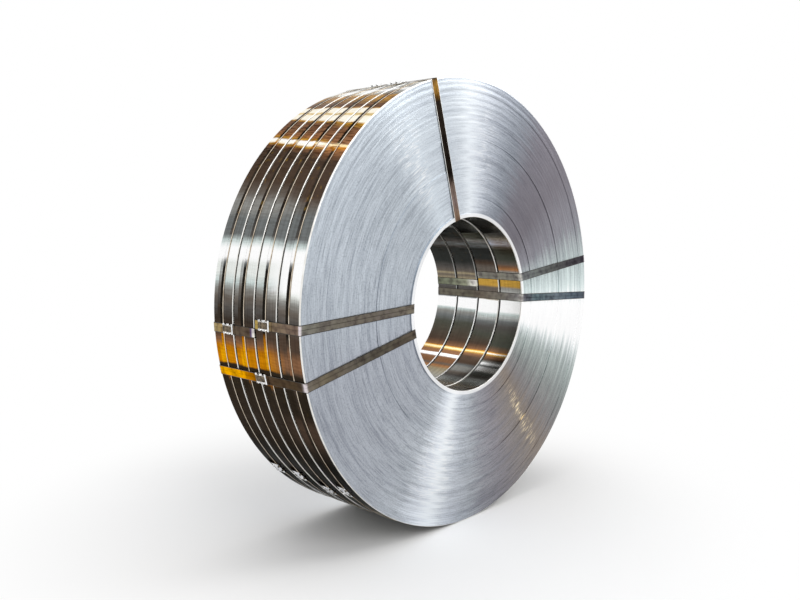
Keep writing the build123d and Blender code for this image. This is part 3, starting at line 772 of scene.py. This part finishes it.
def seal_mesh(name, spot, across, out, along):
    """Folded profile carried along the strap in five lengths: a flat top, rounded shoulders and straight
    legs. In the second and fourth lengths the side is cut free beyond the notch's root and rises as a
    straight tab. The lengths are welded where they meet, which is only between the roots. What is past the
    roots and the far end of the sleeve are in the second zone."""
    bend = np.linspace(0, np.pi / 2, shoulder_steps)
    root = seal_half_width - notch_depth
    shoulder = seal_half_width - shoulder_round * (1 - np.sin(bend))
    side = np.concatenate([[0.5 * root, root], shoulder, [seal_half_width]])
    fall = seal_height - shoulder_round * (1 - np.cos(bend))
    level = np.concatenate([[seal_height, seal_height], fall, [0.0]])
    tab = np.concatenate([[0.0, 0.0], np.linspace(tab_start_share, 1.0, len(side) - 2)]) * notch_depth
    tab_side = np.where(tab > 0, root + tab * np.cos(tab_angle), side)
    tab_level = seal_height + tab * np.sin(tab_angle)
    cuts = [-seal_length / 2, -(notch_pitch + notch_width) / 2, -(notch_pitch - notch_width) / 2]
    cuts += [-cut for cut in cuts[::-1]]
    notched = (np.arange(len(cuts) - 1) % 2 == 1)[:, None, None]
    half_x, half_z = np.where(notched, tab_side, side), np.where(notched, tab_level, level)
    top_x, top_z = np.zeros_like(notched, float), np.full_like(notched, seal_height, float)
    x = np.concatenate([-half_x[..., ::-1], top_x, half_x], axis=-1)
    z = np.concatenate([half_z[..., ::-1], top_z, half_z], axis=-1)
    run = np.linspace(cuts[:-1], cuts[1:], length_steps, axis=1)[:, :, None]
    points = spot + x[..., None] * across + z[..., None] * out + run[..., None] * along
    corner = np.arange(points.size // 3).reshape(points.shape[:3])
    quads = np.stack([corner[:, :-1, :-1], corner[:, :-1, 1:],
                      corner[:, 1:, 1:], corner[:, 1:, :-1]], axis=-1)
    welded, number = np.unique(points.reshape(-1, 3), axis=0, return_inverse=True)
    mesh = bpy.data.meshes.new(name)
    mesh.from_pydata(welded, [], number.reshape(-1)[quads].reshape(-1, 4).tolist())
    past_root = np.maximum(abs(x[..., :-1]), abs(x[..., 1:])) > root + hair
    bent = np.broadcast_to(past_root, quads.shape[:3]).astype(np.int32)
    bent[-1, 1:] = 1
    mesh.polygons.foreach_set("material_index", bent.ravel())
    mesh.shade_smooth()
    mesh.set_sharp_from_angle(angle=crease_angle)
    return mesh


# The bent shoulders and tabs and one end are painted near white, a painted highlight. The tops of the eye
# straps' seals are dark in patches, and the belly seals' tops are matt bright zinc painted nearly white,
# partly a painted highlight.
seal_edge_finish = cloudy_metal(
    "painted_highlight_on_bent_tabs", "#fbfbfa", "#d4d6d8", cloud_size=0.006, roughness=0.25)
eye_seal_finish = cloudy_metal(
    "zinc_seal_top_dark_in_patches", "#7c6e5a", "#1c1816", cloud_size=0.007, roughness=0.3)
belly_seal_finish = cloudy_metal(
    "bright_zinc_seal_top_painted_highlight", "#ffffff", "#dcdce8", cloud_size=0.02, roughness=0.5)
seals = []
for index, angle in enumerate(belly_seal_angles):
    seals.append((f"belly_seal_{index + 1}", f"belly_strap_{index + 1}", angle))
for group, sides in eye_strap_angles.items():
    for side, (outside_angle, bore_angle) in sides.items():
        seals.append((f"{group}_seal_{side}", f"{group}_seal_{side}", outside_angle))
for name, centred_on, degrees in seals:
    on_belly = name.startswith("belly")
    angle = np.radians(degrees)
    low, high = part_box(centred_on)
    out = np.array([np.cos(angle), 0, np.sin(angle)])
    around = np.array([-np.sin(angle), 0, np.cos(angle)])
    axial = np.array([0, 1.0, 0])
    seat = outer_radius + belly_clearance if on_belly else eye_level
    spot = out * seat + axial * ((low.y + high.y) / 2)
    across, along = (axial, around) if on_belly else (around, -axial)
    mesh = seal_mesh(f"notched_{name}", spot, across, out, along)
    top_finish = belly_seal_finish if on_belly else eye_seal_finish
    seal = place(f"notched_{name}", mesh, [top_finish, seal_edge_finish], [name])
    thick = seal.modifiers.new("sheet_gauge", "SOLIDIFY")
    thick.thickness = seal_gauge
    thick.offset = 0.0
    thick.use_even_offset = True
    thick.material_offset_rim = 1

# Stage: a pale matt floor that keeps the shadow and fades to white, a white studio round it, soft lamps and
# a camera at the photograph's angle.
half_floor = 30.0
floor_level = cad_box[0][2]
shadow_reach, white_reach = 0.75, 1.5
fill_light = 0.62


def seen_rays(tree):
    """One for rays from the camera, from a reflection or through glass, and zero for the rest."""
    rays = node(tree, "LightPath").node.outputs
    seen = rays["Is Camera Ray"]
    for kind in ("Is Glossy Ray", "Is Transmission Ray"):
        seen = node(tree, "Math", {0: seen, 1: rays[kind]}, operation="MAXIMUM")
    return seen


floor_corners = [(-half_floor, -half_floor), (half_floor, -half_floor),
                 (half_floor, half_floor), (-half_floor, half_floor)]
floor_mesh = bpy.data.meshes.new("floor")
floor_mesh.from_pydata([(x, y, floor_level) for x, y in floor_corners], [], [(0, 1, 2, 3)])
floor = bpy.data.objects.new("floor", floor_mesh)
bpy.context.collection.objects.link(floor)
floor_paint, tree, place_in = start_finish("pale_matt_floor")
matt = node(tree, "BsdfDiffuse", {"Color": linear("#f6f6f6")})
away = node(tree, "VectorMath", {0: place_in}, "Value", operation="LENGTH")
far = node(tree, "MapRange", {0: away, 1: shadow_reach, 2: white_reach}, interpolation_type="SMOOTHSTEP")
fade = node(tree, "Math", {0: far, 1: seen_rays(tree)}, operation="MULTIPLY")
glow = node(tree, "Emission", {"Color": white, "Strength": 1.0})
blend = node(tree, "MixShader", {0: fade, 1: matt, 2: glow})
node(tree, "OutputMaterial", {"Surface": blend})
floor_mesh.materials.append(floor_paint)

world = bpy.data.worlds.new("white_studio")
bpy.context.scene.world = world
world.use_nodes = True
tree = world.node_tree
tree.nodes.clear()
strength = node(tree, "Math", {0: seen_rays(tree), 1: 1 - fill_light, 2: fill_light},
                operation="MULTIPLY_ADD")
sky = node(tree, "Background", {"Color": white, "Strength": strength})
node(tree, "OutputWorld", {"Surface": sky})


def stand(name, data, right, up, back, spot):
    """Puts a lamp or camera at a spot, turned by its own right, up and backward directions."""
    pose = np.eye(4)
    pose[:3] = np.stack([right, up, back, spot], axis=1)
    stood = bpy.data.objects.new(name, data)
    stood.matrix_world = Matrix(pose.tolist())
    bpy.context.collection.objects.link(stood)
    return stood


def soft_lamp(name, spot, power, size):
    """Square area lamp at a spot, turned to the middle of the coil."""
    lamp = bpy.data.lights.new(name, "AREA")
    lamp.energy = power
    lamp.size = size
    back = np.array(spot) / np.linalg.norm(spot)
    right = np.cross((0, 0, 1), back)
    right /= np.linalg.norm(right)
    stand(name, lamp, right, np.cross(back, right), back, spot)


soft_lamp("key_lamp", (3.0, -2.6, 2.6), power=60, size=2.0)
soft_lamp("fill_lamp", (-1.6, -3.4, 2.4), power=40, size=2.0)
soft_lamp("top_lamp", (-0.5, 0.5, 4.0), power=60, size=4.4)

# The camera's place, turn, focal length and shift were fitted to the outlines of the ends, the bore and the
# straps in the photograph. Focal length and shift are in pixels of its width.
photo_width, photo_focal, coil_centre_offset = 800, 780.96, 27.8
camera_spot = np.array([-1.8014, -1.5657, 0.2103])
camera_turn, camera_rise, camera_roll = np.radians([-49.004, 5.035, 1.261])
back = np.array([np.sin(camera_turn) * np.cos(camera_rise), -np.cos(camera_turn) * np.cos(camera_rise),
                 np.sin(camera_rise)])
level = np.array([np.cos(camera_turn), np.sin(camera_turn), 0.0])
upright = np.cross(back, level)
right = level * np.cos(camera_roll) + upright * np.sin(camera_roll)
up = upright * np.cos(camera_roll) - level * np.sin(camera_roll)
lens = bpy.data.cameras.new("photo_camera")
lens.sensor_width = 36.0
lens.lens = photo_focal / photo_width * lens.sensor_width
lens.shift_x = -coil_centre_offset / photo_width
bpy.context.scene.camera = stand("photo_camera", lens, right, up, back, camera_spot)
bpy.context.scene.view_settings.view_transform = "Standard"
